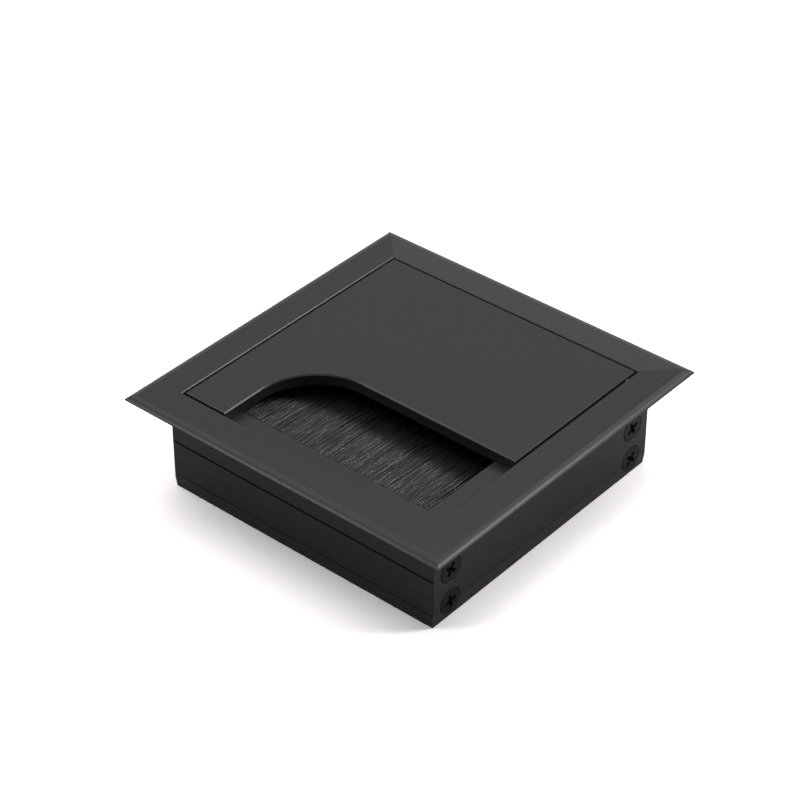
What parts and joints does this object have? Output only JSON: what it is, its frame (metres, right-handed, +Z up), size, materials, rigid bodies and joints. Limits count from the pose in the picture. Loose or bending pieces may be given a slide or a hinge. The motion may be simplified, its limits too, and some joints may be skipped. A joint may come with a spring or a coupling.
{
  "type": "desk cable grommet",
  "caption": "Square black aluminium desk cable grommet with a mitred flange, a flush flip-up lid with a rounded cable notch, and a strip brush that closes the notch round the cables.",
  "frame": {"origin": "middle of the base, on the plane that the box stands on", "axes": "+Z up out of the desk, -Y to the front with the cable notch and brush, +X to the right with the notch's open end"},
  "size_m": [0.08, 0.08, 0.023],
  "materials": {
    "anodised_rail": "matt black anodised extrusion",
    "anodised_lid": "matt black anodised plate",
    "pin_steel": "ground, bare",
    "screw_steel": "black oxide",
    "channel_steel": "galvanised strip",
    "bristle_nylon": "black nylon filaments"
  },
  "bodies": {
    "frame": {"front_rail": "anodised_rail", "rear_rail": "anodised_rail", "left_rail": "anodised_rail", "right_rail": "anodised_rail", "frame_screws": "screw_steel", "brush_channel": "channel_steel", "brush_core_wire": "pin_steel", "bristles": "bristle_nylon"},
    "lid": {"lid": "anodised_lid", "left_hinge_pin": "pin_steel", "right_hinge_pin": "pin_steel"}
  },
  "joints": [
    {"name": "lid_hinge", "type": "hinge", "parent": "frame", "child": "lid", "pos_m": [0, 0.02885, 0.02175], "axis": [-1, 0, 0], "range_deg": [0, 105]}
  ]
}
